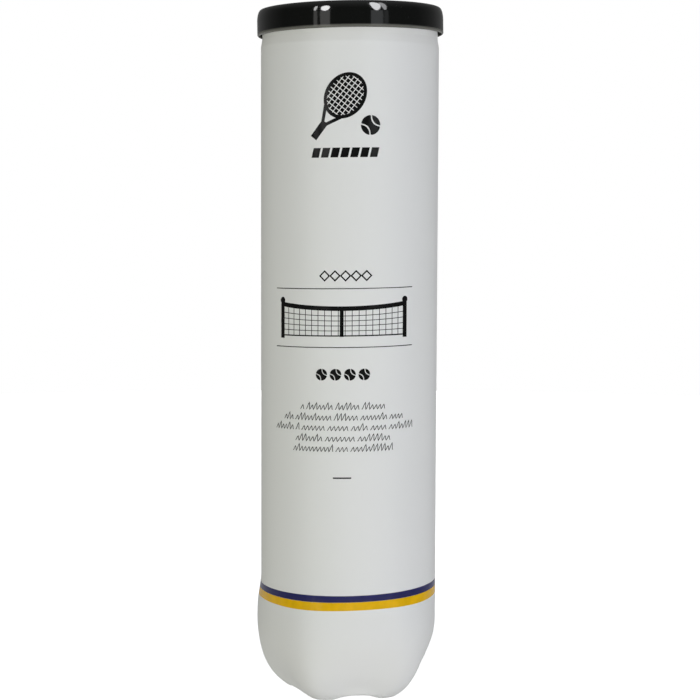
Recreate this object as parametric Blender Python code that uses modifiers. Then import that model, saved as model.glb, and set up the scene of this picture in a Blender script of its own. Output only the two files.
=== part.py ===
"""Tennis ball can: a blown PET can on five moulded feet, closed by a seamed aluminium ring-pull end
and a press-on lid, with four felt-covered balls stacked inside it.

Frame: metres, +Z up along the can's axis, origin on the surface it stands on, at the middle of its
feet. -Y is the printed front. The can is sized outwards from the balls that it holds.
"""

import math

import bpy
from mathutils import Vector

MM = 0.001

# Facets round the axis. A whole number of them spans each foot, so every ring of points lines up.
SIDES = 40
CORE_SIDES = 16

# Balls
BALL_COUNT = 4
BALL_RADIUS = 33.1 * MM
FELT_THICKNESS = 2.5 * MM
CORE_CLEARANCE = 0.6 * MM
CORE_WALL = 3.4 * MM
CORE_JOINT = 0.2 * MM
SEAM_RADIUS = 0.9 * MM
SEAM_RECESS = 0.3 * MM
SEAM_CLEARANCE = 0.35 * MM
SEAM_POINTS = 40
FELT_COLUMNS = 6
# Waist of each dog-bone cover: the seam is a curve of this shape on a sphere of radius 1.
SEAM_WAIST = 1 / 3
# How each ball happens to lie in the can: turns about X, Y and Z in degrees, lowest ball first.
BALL_TURNS = ((12, 25, 0), (64, -18, 40), (-35, 40, 115), (82, 8, -70))

# Stack inside the can
BALL_GAP = 0.2 * MM
FLOOR_CLEARANCE = 0.3 * MM
HEADSPACE = 1.85 * MM

# Can body, PET
BODY_WALL = 0.5 * MM
SHOULDER_STEP = 0.6 * MM
SHOULDER_HEIGHT = 3.5 * MM
NECK_HEIGHT = 9.5 * MM
BASE_HEIGHT = 48.0 * MM
FOOT_COUNT = 5
FOOT_TURN = -27.0  # degrees from the front to the nearest foot
FOOT_SHARPNESS = 1.4
PUSH_UP = 5.0 * MM
BASE_SPAN_STEPS = 2

# Sheet aluminium end
SHEET = 0.25 * MM
SEAM_GAP = 0.1 * MM
OPENING_CLEARANCE = 0.5 * MM
SCORE_GAP = 0.2 * MM
LIP_WIDTH = 0.55 * MM
GROOVE_WIDTH = 0.9 * MM
GROOVE_DEPTH = 0.8 * MM
PANEL_DEPTH = 6.05 * MM
WELL_DEPTH = 0.8 * MM
WELL_SLOPE = 0.8 * MM
SEAM_HEIGHT = 3.0 * MM
HOOK_CLEARANCE = 0.15 * MM
HOOK_OVERLAP_GAP = 0.3 * MM
COMPOUND_THICKNESS = 0.2 * MM

# Pull tab
TAB_THICKNESS = 1.2 * MM
TAB_GAP = 0.2 * MM
NOSE_INSET = 2.6 * MM
NOSE_HALF_WIDTH = 6.5 * MM
NOSE_TO_RIVET = 7.0 * MM
WAIST_HALF_WIDTH = 7.2 * MM
FINGER_RADIUS = 7.3 * MM
RING_WALL = 3.2 * MM
RING_OFFSET = 0.5 * MM
RING_JOIN_ANGLE = 48.0
TAB_WEB = 1.7 * MM
TONGUE_HALF_LENGTH = 3.6 * MM
TONGUE_HALF_WIDTH = 3.5 * MM
TONGUE_THICKNESS = 0.4 * MM
TONGUE_CLEARANCE = 0.4 * MM
RIVET_RADIUS = 1.5 * MM
RIVET_HOLE_CLEARANCE = 0.25 * MM
RIVET_HEAD_RADIUS = 2.5 * MM
RIVET_HEAD_THICKNESS = 0.5 * MM
RIVET_HEAD_GAP = 0.15 * MM
WELL_TO_RIVET = 4.5 * MM

# Lid
LID_WALL = 1.0 * MM
LID_SKIRT = 10.5 * MM
LID_RIM_THICKNESS = 1.1 * MM
LID_RECESS = 1.2 * MM
LID_CLEARANCE = 0.2 * MM
LID_REST_GAP = 0.15 * MM
LID_TOP_ROUND = 1.6 * MM
LID_FOOT_ROUND = 1.0 * MM
LID_BEAD = 0.1 * MM
LID_BEAD_HEIGHT = 1.2 * MM
LID_PLUG_CLEARANCE = 0.45 * MM
LID_RIM_SLOPE = 0.8 * MM

# Radii, from the ball's core outwards
CORE_RADIUS = BALL_RADIUS - FELT_THICKNESS - CORE_CLEARANCE
OPENING_RADIUS = BALL_RADIUS + OPENING_CLEARANCE
LIP_RADIUS = OPENING_RADIUS + LIP_WIDTH
CHUCK_RADIUS = LIP_RADIUS + GROOVE_WIDTH
NECK_INNER = CHUCK_RADIUS + SHEET + SEAM_GAP
NECK_RADIUS = NECK_INNER + BODY_WALL
COVER_HOOK_RADIUS = NECK_RADIUS + SEAM_GAP
BODY_HOOK_INNER = COVER_HOOK_RADIUS + SHEET + SEAM_GAP
BODY_HOOK_OUTER = BODY_HOOK_INNER + BODY_WALL
SEAM_OUTER = BODY_HOOK_OUTER + SEAM_GAP + SHEET
BODY_RADIUS = NECK_RADIUS + SHOULDER_STEP
LID_INNER = SEAM_OUTER + LID_CLEARANCE
LID_RADIUS = LID_INNER + LID_WALL

# Heights, from the feet upwards
BALL_PITCH = 2 * BALL_RADIUS + BALL_GAP
FIRST_BALL_Z = PUSH_UP + BODY_WALL + FLOOR_CLEARANCE + BALL_RADIUS
STACK_TOP = FIRST_BALL_Z + (BALL_COUNT - 1) * BALL_PITCH + BALL_RADIUS
WELL_Z = STACK_TOP + HEADSPACE + SHEET
PANEL_Z = WELL_Z + WELL_DEPTH
SEAM_TOP = PANEL_Z + PANEL_DEPTH
SEAM_BOTTOM = SEAM_TOP - SEAM_HEIGHT
COMPOUND_TOP = SEAM_TOP - SHEET - SEAM_GAP
FLANGE_TOP = COMPOUND_TOP - COMPOUND_THICKNESS - SEAM_GAP
FLANGE_UNDER = FLANGE_TOP - BODY_WALL
LID_TOP = SEAM_TOP + LID_REST_GAP + LID_RIM_THICKNESS
LID_BOTTOM = LID_TOP - LID_SKIRT
SHOULDER_TOP = FLANGE_TOP - NECK_HEIGHT

# Places along the tab, which lies along +X from the middle of the end to its edge
HINGE_X = OPENING_RADIUS - NOSE_INSET
RIVET_X = HINGE_X - NOSE_TO_RIVET
SLOT_HALF_LENGTH = TONGUE_HALF_LENGTH + TONGUE_CLEARANCE
FINGER_X = RIVET_X - SLOT_HALF_LENGTH - TAB_WEB - FINGER_RADIUS
RING_X = FINGER_X + RING_OFFSET
TAB_BOTTOM = PANEL_Z + TAB_GAP

# Outline of the base at a foot and half way between two feet, as (radius, height) in shares of the
# body's radius and of the base's height. The last point before the middle is the edge of the push-up.
FOOT_OUTLINE = (
    (1.0, 1.25),
    (1.0, 1.0),
    (1.049, 0.75),
    (1.049, 0.5),
    (0.992, 0.271),
    (0.869, 0.104),
    (0.67, -0.016),
    (0.56, -0.016),
    (0.438, 0.033),
)
VALLEY_OUTLINE = (
    (1.0, 1.25),
    (1.0, 1.0),
    (1.0, 0.75),
    (0.984, 0.5),
    (0.871, 0.271),
    (0.759, 0.135),
    (0.701, 0.058),
    (0.575, 0.046),
    (0.438, 0.054),
)


# Scene and object helpers


def clear_scene():
    """Removes whatever the scene holds."""
    for obj in list(bpy.data.objects):
        bpy.data.objects.remove(obj, do_unlink=True)


def new_collection(name):
    """A collection under the scene's own."""
    collection = bpy.data.collections.new(name)
    bpy.context.scene.collection.children.link(collection)
    return collection


def new_material(name, colour, roughness, metallic=0.0):
    """A plain Principled material."""
    material = bpy.data.materials.new(name)
    material.use_nodes = True
    shader = material.node_tree.nodes["Principled BSDF"]
    shader.inputs["Base Color"].default_value = (*colour, 1.0)
    shader.inputs["Roughness"].default_value = roughness
    shader.inputs["Metallic"].default_value = metallic
    return material


def add_object(name, data, collection, material):
    """An object of this data in the collection, with its material."""
    obj = bpy.data.objects.new(name, data)
    collection.objects.link(obj)
    if not data.materials:
        data.materials.append(material)
    return obj


def mesh_from(name, points, edges, faces):
    """A mesh of these points, edges and faces."""
    mesh = bpy.data.meshes.new(name)
    mesh.from_pydata(points, edges, faces)
    mesh.validate()
    return mesh


# Shape helpers


def turned(name, profile, collection, material, closed=False, sides=SIDES):
    """Turns (radius, height) points about Z. The profile runs down its outer side, top to bottom."""
    points = [(radius, 0.0, height) for radius, height in profile]
    count = len(points)
    edges = [(i, (i + 1) % count) for i in range(count if closed else count - 1)]
    obj = add_object(name, mesh_from(name, points, edges, []), collection, material)
    screw = obj.modifiers.new("turn", "SCREW")
    screw.axis = "Z"
    screw.angle = 2 * math.pi
    screw.steps = sides
    screw.render_steps = sides
    screw.use_merge_vertices = True
    screw.merge_threshold = 0.00001
    return obj


def thicken(obj, thickness, even=True):
    """Gives an open surface its wall, behind the side that its faces point to."""
    solidify = obj.modifiers.new("wall", "SOLIDIFY")
    solidify.thickness = thickness
    solidify.offset = -1
    solidify.use_even_offset = even
    return obj


def arc(centre_r, centre_z, radius, start, end, steps):
    """Points of an arc in the (radius, height) plane, from start to end in degrees."""
    turns = [math.radians(start + (end - start) * i / steps) for i in range(steps + 1)]
    return [(centre_r + radius * math.cos(t), centre_z + radius * math.sin(t)) for t in turns]


def circle(centre_x, radius, count, start=0.0, end=360.0):
    """Points round a circle on the X axis, without the last one where it closes."""
    steps = count if end - start == 360.0 else count - 1
    turns = [math.radians(start + (end - start) * i / steps) for i in range(count)]
    return [(centre_x + radius * math.cos(t), radius * math.sin(t)) for t in turns]


def smooth_path(points, steps):
    """A Catmull-Rom curve through points, from the second one on; the first only sets its direction."""
    ends = [Vector(p) for p in points]
    ends.append(2 * ends[-1] - ends[-2])
    path = []
    for before, start, end, after in zip(ends, ends[1:], ends[2:], ends[3:]):
        for i in range(steps):
            t = i / steps
            path.append(
                0.5
                * (
                    2 * start
                    + (end - before) * t
                    + (2 * before - 5 * start + 4 * end - after) * t**2
                    + (3 * start - before - 3 * end + after) * t**3
                )
            )
    path.append(ends[-2])
    return path


def plate(name, outlines, thickness, bottom_z, collection, material):
    """A flat plate of these closed outlines, the later ones being holes, standing on bottom_z."""
    curve = bpy.data.curves.new(name, "CURVE")
    curve.dimensions = "2D"
    curve.fill_mode = "BOTH"
    curve.extrude = thickness / 2
    for outline in outlines:
        spline = curve.splines.new("POLY")
        spline.points.add(len(outline) - 1)
        for point, (x, y) in zip(spline.points, outline):
            point.co = (x, y, 0.0, 1.0)
        spline.use_cyclic_u = True
    obj = add_object(name, curve, collection, material)
    obj.location.z = bottom_z + thickness / 2
    return obj


# Can body


def base_outline(shares):
    """The base's outline at one angle, in metres, ending on the axis at the top of the push-up."""
    points = [(r * BODY_RADIUS, z * BASE_HEIGHT) for r, z in shares]
    return smooth_path([*points, (0.0, PUSH_UP)], BASE_SPAN_STEPS)


def make_can_body(parts, material):
    """The PET can, as one open surface from the folded flange to the push-up, thickened inwards."""
    foot, valley = base_outline(FOOT_OUTLINE), base_outline(VALLEY_OUTLINE)
    hook_tip = SEAM_BOTTOM + SHEET + HOOK_CLEARANCE
    upper = [
        (BODY_HOOK_INNER, hook_tip),
        (BODY_HOOK_INNER, FLANGE_UNDER),
        (NECK_RADIUS, FLANGE_UNDER),
        (NECK_RADIUS, SHOULDER_TOP),
        (BODY_RADIUS, SHOULDER_TOP - SHOULDER_HEIGHT),
    ]
    points = []
    for side in range(SIDES):
        angle = 2 * math.pi * side / SIDES
        wave = math.cos(FOOT_COUNT * (angle - math.radians(FOOT_TURN)))
        share = ((1 + wave) / 2) ** FOOT_SHARPNESS
        base = [v.lerp(f, share) for v, f in zip(valley, foot)][:-1]
        for radius, height in [*upper, *base]:
            # The feet are cut off flat where they stand.
            x, y = radius * math.sin(angle), -radius * math.cos(angle)
            points.append((x, y, max(height, 0.0)))
    rings = len(points) // SIDES
    centre = len(points)
    points.append((0.0, 0.0, PUSH_UP))
    faces = []
    for side in range(SIDES):
        here, there = side * rings, (side + 1) % SIDES * rings
        faces += [(here + i, here + i + 1, there + i + 1, there + i) for i in range(rings - 1)]
        faces.append((here + rings - 1, centre, there + rings - 1))
    mesh = mesh_from("can_body", points, [], faces)
    mesh.shade_smooth()
    thicken(add_object("can_body", mesh, parts, material), BODY_WALL)


# Aluminium end


def make_end_ring(parts, material):
    """The part of the end that stays seamed to the can: lip, groove, chuck wall and folded seam."""
    profile = [
        (OPENING_RADIUS, PANEL_Z),
        (LIP_RADIUS, PANEL_Z),
        (LIP_RADIUS, PANEL_Z - GROOVE_DEPTH),
        (CHUCK_RADIUS, PANEL_Z - GROOVE_DEPTH),
        (CHUCK_RADIUS, SEAM_TOP),
        (SEAM_OUTER, SEAM_TOP),
        (SEAM_OUTER, SEAM_BOTTOM),
        (COVER_HOOK_RADIUS, SEAM_BOTTOM),
        (COVER_HOOK_RADIUS, FLANGE_UNDER - HOOK_OVERLAP_GAP),
    ]
    thicken(turned("end_ring", profile, parts, material), SHEET)


def make_compound(parts, material):
    """The ring of sealing compound between the can's flange and the end."""
    inner, outer = CHUCK_RADIUS + SHEET + SEAM_GAP, BODY_HOOK_OUTER
    bottom = COMPOUND_TOP - COMPOUND_THICKNESS
    profile = [(inner, COMPOUND_TOP), (outer, COMPOUND_TOP), (outer, bottom), (inner, bottom)]
    turned("sealing_compound", profile, parts, material, closed=True)


def make_tear_panel(parts, guides, material):
    """The panel inside the score, with its finger well and the rivet drawn up out of its metal."""
    well_radius = RIVET_X - WELL_TO_RIVET
    profile = [
        (0.0, WELL_Z),
        (well_radius, WELL_Z),
        (well_radius + WELL_SLOPE, PANEL_Z),
        (OPENING_RADIUS - SCORE_GAP, PANEL_Z),
    ]
    panel = thicken(turned("tear_panel", profile, parts, material), SHEET)
    head_bottom = TAB_BOTTOM + TONGUE_THICKNESS + RIVET_HEAD_GAP
    head_top = head_bottom + RIVET_HEAD_THICKNESS
    rivet_profile = [
        (0.0, head_top),
        (RIVET_HEAD_RADIUS, head_top),
        (RIVET_HEAD_RADIUS, head_bottom),
        (RIVET_RADIUS, head_bottom),
        (RIVET_RADIUS, PANEL_Z - SHEET / 2),
        (0.0, PANEL_Z - SHEET / 2),
    ]
    rivet = turned("rivet_form", rivet_profile, guides, material, sides=CORE_SIDES)
    rivet.location.x = RIVET_X
    rivet.hide_render = True
    rivet.display_type = "WIRE"
    union = panel.modifiers.new("rivet", "BOOLEAN")
    union.operation = "UNION"
    union.solver = "EXACT"
    union.object = rivet


def rectangle(centre_x, half_length, half_width):
    """Corners of a rectangle on the X axis."""
    return [
        (centre_x - half_length, -half_width),
        (centre_x + half_length, -half_width),
        (centre_x + half_length, half_width),
        (centre_x - half_length, half_width),
    ]


def make_tab(parts, material):
    """The ring-pull in its two stiff halves: the tongue under the rivet, and the ring with its nose."""
    hole = circle(RIVET_X, RIVET_RADIUS + RIVET_HOLE_CLEARANCE, CORE_SIDES)
    tongue = rectangle(RIVET_X, TONGUE_HALF_LENGTH, TONGUE_HALF_WIDTH)
    plate("tab_tongue", [tongue, hole], TONGUE_THICKNESS, TAB_BOTTOM, parts, material)

    nose_angle = math.degrees(math.asin(NOSE_HALF_WIDTH / HINGE_X))
    waist = [(RIVET_X, WAIST_HALF_WIDTH), (RIVET_X, -WAIST_HALF_WIDTH)]
    ring_end = 360.0 - RING_JOIN_ANGLE
    outline = [
        *circle(0.0, HINGE_X, 7, -nose_angle, nose_angle),
        waist[0],
        *circle(RING_X, FINGER_RADIUS + RING_WALL, 21, RING_JOIN_ANGLE, ring_end),
        waist[1],
    ]
    finger_hole = circle(FINGER_X, FINGER_RADIUS, 24)
    slot = rectangle(RIVET_X, SLOT_HALF_LENGTH, TONGUE_HALF_WIDTH + TONGUE_CLEARANCE)
    outlines = [outline, finger_hole, slot]
    pull_ring = plate("pull_ring", outlines, TAB_THICKNESS, TAB_BOTTOM, parts, material)
    # Its origin is on the hinge line, at the foot of the nose.
    place_origin(pull_ring, Vector((HINGE_X, 0.0, TAB_BOTTOM)))


def place_origin(obj, target):
    """Moves a curve object's origin to target and leaves its shape where it is."""
    shift = target - obj.location
    for spline in obj.data.splines:
        for point in spline.points:
            point.co = (point.co.x - shift.x, point.co.y - shift.y, point.co.z - shift.z, 1.0)
    obj.location = target


# Lid


def make_lid(parts, material):
    """The press-on lid: a sunk middle, a raised rim over the seam, and a skirt with a snap bead."""
    sunk_top = LID_TOP - LID_RECESS
    rim_under = LID_TOP - LID_RIM_THICKNESS
    sunk_under = sunk_top - LID_WALL
    plug_radius = CHUCK_RADIUS - LID_PLUG_CLEARANCE
    bead_top = SEAM_BOTTOM - LID_BEAD
    bead_bottom = bead_top - LID_BEAD_HEIGHT
    profile = [
        (0.0, sunk_top),
        (plug_radius, sunk_top),
        (plug_radius + LID_RIM_SLOPE, LID_TOP),
        *arc(LID_RADIUS - LID_TOP_ROUND, LID_TOP - LID_TOP_ROUND, LID_TOP_ROUND, 90, 0, 3),
        *arc(LID_RADIUS - LID_FOOT_ROUND, LID_BOTTOM + LID_FOOT_ROUND, LID_FOOT_ROUND, 0, -90, 2),
        (LID_INNER, LID_BOTTOM),
        (LID_INNER, bead_bottom),
        (LID_INNER - LID_BEAD, (bead_bottom + bead_top) / 2),
        (LID_INNER, bead_top),
        (LID_INNER, rim_under),
        (plug_radius, rim_under),
        (plug_radius, sunk_under),
        (0.0, sunk_under),
    ]
    tidy = [point for i, point in enumerate(profile) if i == 0 or point != profile[i - 1]]
    turned("lid", tidy, parts, material)


# Balls


def seam_point(turn):
    """A point of the seam on a sphere of radius 1. The cover with its waist over +Z has turn 0 to pi."""
    wide, narrow = (1 + SEAM_WAIST) / 2, (1 - SEAM_WAIST) / 2
    rise = 2 * math.sqrt(wide * narrow)
    return Vector(
        (
            wide * math.cos(turn) - narrow * math.cos(3 * turn),
            wide * math.sin(turn) + narrow * math.sin(3 * turn),
            -rise * math.cos(2 * turn),
        )
    )


def cover_edge(turn, half_groove):
    """A point of the cover's edge: the seam's point moved into the cover by half the groove."""
    point = seam_point(turn)
    step = 0.001
    along = (seam_point(turn + step) - seam_point(turn - step)).normalized()
    return (point + half_groove * point.cross(along)).normalized()


def make_cover_mesh():
    """One dog-bone felt cover as an open piece of sphere: rows across it, from tip to tip."""
    half_groove = (SEAM_RADIUS + SEAM_CLEARANCE) / BALL_RADIUS
    row_count = SEAM_POINTS // 2
    points = []
    for row in range(1, row_count):
        edge = cover_edge(math.pi * row / row_count, half_groove)
        along, half_width = math.atan2(edge.x, edge.z), math.asin(edge.y)
        for column in range(FELT_COLUMNS + 1):
            across = half_width * (1 - 2 * column / FELT_COLUMNS)
            ring = BALL_RADIUS * math.cos(across)
            height = BALL_RADIUS * math.sin(across)
            points.append((ring * math.sin(along), height, ring * math.cos(along)))
    tips = [BALL_RADIUS * cover_edge(turn, half_groove) for turn in (0.0, math.pi)]
    first_tip, last_tip = len(points), len(points) + 1
    points += [tuple(tip) for tip in tips]
    wide = FELT_COLUMNS + 1
    faces = []
    for row in range(row_count - 2):
        here, there = row * wide, (row + 1) * wide
        faces += [(here + i, there + i, there + i + 1, here + i + 1) for i in range(FELT_COLUMNS)]
    last = (row_count - 2) * wide
    faces += [(first_tip, i, i + 1) for i in range(FELT_COLUMNS)]
    faces += [(last_tip, last + i + 1, last + i) for i in range(FELT_COLUMNS)]
    mesh = mesh_from("felt_cover", points, [], faces)
    mesh.shade_smooth()
    return mesh


def make_core_profile():
    """Half of the hollow rubber core, cut at its middle, as a profile for turning."""
    steps = CORE_SIDES // 4
    rim_angle = math.degrees(math.asin(CORE_JOINT / 2 / CORE_RADIUS))
    outer = arc(0.0, 0.0, CORE_RADIUS, 90, rim_angle, steps)
    inner = arc(0.0, 0.0, CORE_RADIUS - CORE_WALL, rim_angle, 90, steps)
    profile = [*outer, *inner]
    return [(0.0 if radius < CORE_JOINT / 2 else radius, height) for radius, height in profile]


def make_seam_curve():
    """The cemented seam between the two covers, as a closed tube in the groove."""
    curve = bpy.data.curves.new("ball_seam", "CURVE")
    curve.dimensions = "3D"
    curve.bevel_depth = SEAM_RADIUS
    curve.bevel_resolution = 1
    spline = curve.splines.new("POLY")
    spline.points.add(SEAM_POINTS - 1)
    for i, point in enumerate(spline.points):
        place = (BALL_RADIUS - SEAM_RECESS - SEAM_RADIUS) * seam_point(2 * math.pi * i / SEAM_POINTS)
        point.co = (*place, 1.0)
    spline.use_cyclic_u = True
    return curve


def make_balls(parts, rubber, felt, cement):
    """The stack of balls: each has two core halves, two covers and a seam, under one empty."""
    cover_mesh, core_profile, seam_curve = make_cover_mesh(), make_core_profile(), make_seam_curve()
    for number in range(1, BALL_COUNT + 1):
        ball = bpy.data.objects.new(f"ball_{number}", None)
        parts.objects.link(ball)
        ball.location.z = FIRST_BALL_Z + (number - 1) * BALL_PITCH
        turns = BALL_TURNS[(number - 1) % len(BALL_TURNS)]
        ball.rotation_euler = [math.radians(turn) for turn in turns]
        prefix = f"ball_{number}_"
        upper = turned(prefix + "core_upper", core_profile, parts, rubber, sides=CORE_SIDES)
        lower = turned(prefix + "core_lower", core_profile, parts, rubber, sides=CORE_SIDES)
        lower.rotation_euler.x = math.pi
        first = thicken(add_object(prefix + "felt_a", cover_mesh, parts, felt), FELT_THICKNESS, even=False)
        second = thicken(add_object(prefix + "felt_b", cover_mesh, parts, felt), FELT_THICKNESS, even=False)
        # The other cover is the same piece after half a turn about the line X = Y.
        second.rotation_euler = (math.pi, 0.0, math.pi / 2)
        seam = add_object(prefix + "seam", seam_curve, parts, cement)
        for piece in (upper, lower, first, second, seam):
            piece.parent = ball


def main():
    """Builds the whole can."""
    clear_scene()
    parts = new_collection("tennis_ball_can")
    guides = new_collection("guides")
    pet = new_material("white_pet", (0.80, 0.81, 0.82), 0.35)
    aluminium = new_material("aluminium", (0.78, 0.79, 0.80), 0.28, 1.0)
    black_plastic = new_material("black_lid", (0.012, 0.012, 0.013), 0.12)
    compound = new_material("sealing_compound", (0.35, 0.36, 0.34), 0.8)
    rubber = new_material("core_rubber", (0.06, 0.06, 0.065), 0.75)
    felt = new_material("felt", (0.72, 0.86, 0.12), 0.95)
    cement = new_material("seam_cement", (0.86, 0.86, 0.80), 0.7)
    make_can_body(parts, pet)
    make_end_ring(parts, aluminium)
    make_compound(parts, compound)
    make_tear_panel(parts, guides, aluminium)
    make_tab(parts, aluminium)
    make_lid(parts, black_plastic)
    make_balls(parts, rubber, felt, cement)


main()
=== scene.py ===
"""The looks of a tennis ball can: a printed white PET can with a glossy black lid, and under the lid an
aluminium ring-pull end and four felt balls. Metres, +Z up, -Y is the printed front."""

import math
from random import Random

import bmesh
import bpy
from mathutils import Euler, Matrix, Vector, noise


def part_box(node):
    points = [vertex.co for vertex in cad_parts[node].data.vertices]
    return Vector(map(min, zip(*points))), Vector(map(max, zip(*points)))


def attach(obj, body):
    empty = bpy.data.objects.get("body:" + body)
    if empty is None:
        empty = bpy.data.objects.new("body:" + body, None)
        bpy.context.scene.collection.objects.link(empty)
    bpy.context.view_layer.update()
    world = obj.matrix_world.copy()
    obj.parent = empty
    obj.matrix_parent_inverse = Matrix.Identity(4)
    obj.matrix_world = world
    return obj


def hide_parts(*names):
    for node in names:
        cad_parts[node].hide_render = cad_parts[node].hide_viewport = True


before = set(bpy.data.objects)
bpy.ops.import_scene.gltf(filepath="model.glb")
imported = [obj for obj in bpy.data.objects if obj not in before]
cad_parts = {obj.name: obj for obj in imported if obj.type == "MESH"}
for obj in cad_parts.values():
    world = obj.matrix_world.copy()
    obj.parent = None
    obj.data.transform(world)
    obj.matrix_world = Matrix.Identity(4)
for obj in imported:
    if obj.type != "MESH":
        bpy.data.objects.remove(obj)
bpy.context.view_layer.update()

MM = 0.001
BALLS = (1, 2, 3, 4)


# Sizes, read from the CAD model where it has them


def box_of(*nodes):
    """(lowest corner, highest corner) round these CAD nodes."""
    lows, highs = zip(*[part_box(node) for node in nodes])
    low = Vector([min(corner[i] for corner in lows) for i in range(3)])
    high = Vector([max(corner[i] for corner in highs) for i in range(3)])
    return low, high


LID_LOW, LID_HIGH = box_of("lid")
TAB_LOW, TAB_HIGH = box_of("pull_ring")
TONGUE_LOW, TONGUE_HIGH = box_of("tab_tongue")
RING_HIGH, PANEL_HIGH = box_of("end_ring")[1], box_of("tear_panel")[1]
FLANGE_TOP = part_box("can_body")[1][2]

SEAM_OUTER, SEAM_TOP = RING_HIGH.x, RING_HIGH.z
SEAM_FOOT = SEAM_TOP - 3.0 * MM
SHEET = 0.25 * MM
# The height of the metal end's flat, and the place of its rivet
PANEL_Z = PANEL_HIGH.z - 1.25 * MM
RIVET_X = (TONGUE_LOW.x + TONGUE_HIGH.x) / 2
FINGER_RADIUS = 7.3 * MM

NECK_RADIUS = SEAM_OUTER - 1.3 * MM
BODY_RADIUS = NECK_RADIUS + 0.6 * MM
BODY_WALL = 0.5 * MM
BODY_HOOK_INNER = SEAM_OUTER - 0.85 * MM
BASE_HEIGHT = 48 * MM
PUSH_UP = 5 * MM
FOOT_COUNT = 5
FOOT_TURN = math.radians(-27)
FOOT_SHARPNESS = 1.4
FOOT_SOFT = 0.35 * MM
BASE_STEPS = 9

# The print's middle lies a little to the left of the front, and it isn't quite level.
PRINT_TURN = math.radians(-4.5)
PRINT_SLOPE = 0.015
STRIPE_SLOPE = 0.023
NAVY_TOP, NAVY_BOTTOM = 46.4 * MM, 43.77 * MM
YELLOW_TOP, YELLOW_BOTTOM = 43.73 * MM, 40.4 * MM

# The lid is pressed home at the left and rides up a little at the right.
LID_TILT = math.radians(1.0)
LID_SEAT = Vector((-SEAM_OUTER, 0.0, SEAM_TOP))
LID_TURN = Matrix.Rotation(-LID_TILT, 4, "Y")
LID_MATRIX = Matrix.Translation(LID_SEAT) @ LID_TURN @ Matrix.Translation(-LID_SEAT)
LID_AXIS = LID_MATRIX.to_3x3() @ Vector((0, 0, 1))
# The height of the lid's foot along its own axis
LID_FOOT = (LID_MATRIX @ Vector((0.0, 0.0, LID_LOW.z))).dot(LID_AXIS)


# Node helpers


def ranged(tree, value, low, high, to_low=0.0, to_high=1.0, curve="LINEAR"):
    """A value that goes from to_low to to_high while another one goes from low to high."""
    made = tree.nodes.new("ShaderNodeMapRange")
    made.interpolation_type = curve
    numbers = {"From Min": low, "From Max": high, "To Min": to_low, "To Max": to_high}
    for socket, number in numbers.items():
        made.inputs[socket].default_value = number
    tree.links.new(value, made.inputs["Value"])
    return made.outputs["Result"]


class Shader:
    """A material's nodes, with one Principled shader, built by short calls."""

    def __init__(self, name, colour, roughness, **values):
        self.material = bpy.data.materials.new(name)
        self.material.use_nodes = True
        self.tree = self.material.node_tree
        self.shader = self.tree.nodes["Principled BSDF"]
        self.set("Base Color", (*colour, 1.0))
        self.set("Roughness", roughness)
        for socket, value in values.items():
            self.set(socket.replace("_", " "), value)
        self.coordinates = self.node("ShaderNodeTexCoord").outputs["Object"]
        self.last_bump = None

    def set(self, socket, value):
        self.shader.inputs[socket].default_value = value

    def node(self, kind, **settings):
        made = self.tree.nodes.new(kind)
        for name, value in settings.items():
            setattr(made, name, value)
        return made

    def link(self, source, target):
        self.tree.links.new(source, target)

    def scaled(self, scale):
        """The piece's own coordinates, stretched by (x, y, z)."""
        mapping = self.node("ShaderNodeMapping")
        mapping.inputs["Scale"].default_value = scale
        self.link(self.coordinates, mapping.inputs["Vector"])
        return mapping.outputs["Vector"]

    def noise(self, size, detail=3.0, stretch=(1, 1, 1), distortion=0.0):
        """Noise whose grains are about this size, in metres."""
        made = self.node("ShaderNodeTexNoise")
        made.inputs["Scale"].default_value = 1 / size
        made.inputs["Detail"].default_value = detail
        made.inputs["Distortion"].default_value = distortion
        self.link(self.scaled(stretch), made.inputs["Vector"])
        return made.outputs["Fac"]

    def ramp(self, factor, stops):
        """A ramp through (place, colour or grey) stops."""
        made = self.node("ShaderNodeValToRGB")
        band = made.color_ramp
        while len(band.elements) < len(stops):
            band.elements.new(0.5)
        for element, (place, value) in zip(band.elements, stops):
            element.position = place
            colour = value if isinstance(value, tuple) else (value, value, value)
            element.color = (*colour, 1.0)
        self.link(factor, made.inputs["Fac"])
        return made.outputs["Color"]

    def mix(self, factor, first, second):
        """Two colours mixed by a factor from nodes."""
        made = self.node("ShaderNodeMix", data_type="RGBA")
        for value, socket in ((first, made.inputs[6]), (second, made.inputs[7])):
            if isinstance(value, tuple):
                socket.default_value = (*value, 1.0)
            else:
                self.link(value, socket)
        self.link(factor, made.inputs[0])
        return made.outputs[2]

    def colour(self, output):
        self.link(output, self.shader.inputs["Base Color"])

    def roughness(self, factor, low, high):
        """Roughness from low to high as the factor goes from 0.3 to 0.7."""
        self.link(ranged(self.tree, factor, 0.3, 0.7, low, high), self.shader.inputs["Roughness"])

    def bump(self, height, strength, distance):
        """Adds a bump of this height in metres, on top of any before it."""
        made = self.node("ShaderNodeBump")
        made.inputs["Strength"].default_value = strength
        made.inputs["Distance"].default_value = distance
        self.link(height, made.inputs["Height"])
        if self.last_bump:
            self.link(self.last_bump, made.inputs["Normal"])
        self.last_bump = made.outputs["Normal"]
        self.link(self.last_bump, self.shader.inputs["Normal"])

    def mottle(self, tone, stops, gloss, dullness, grain, bump):
        """Uneven tone, gloss and surface, each from noise of its own, and the finished material."""
        self.colour(self.ramp(self.noise(*tone), stops))
        self.roughness(self.noise(*gloss), *dullness)
        self.bump(self.noise(*grain), *bump)
        return self.material


# Materials


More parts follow.
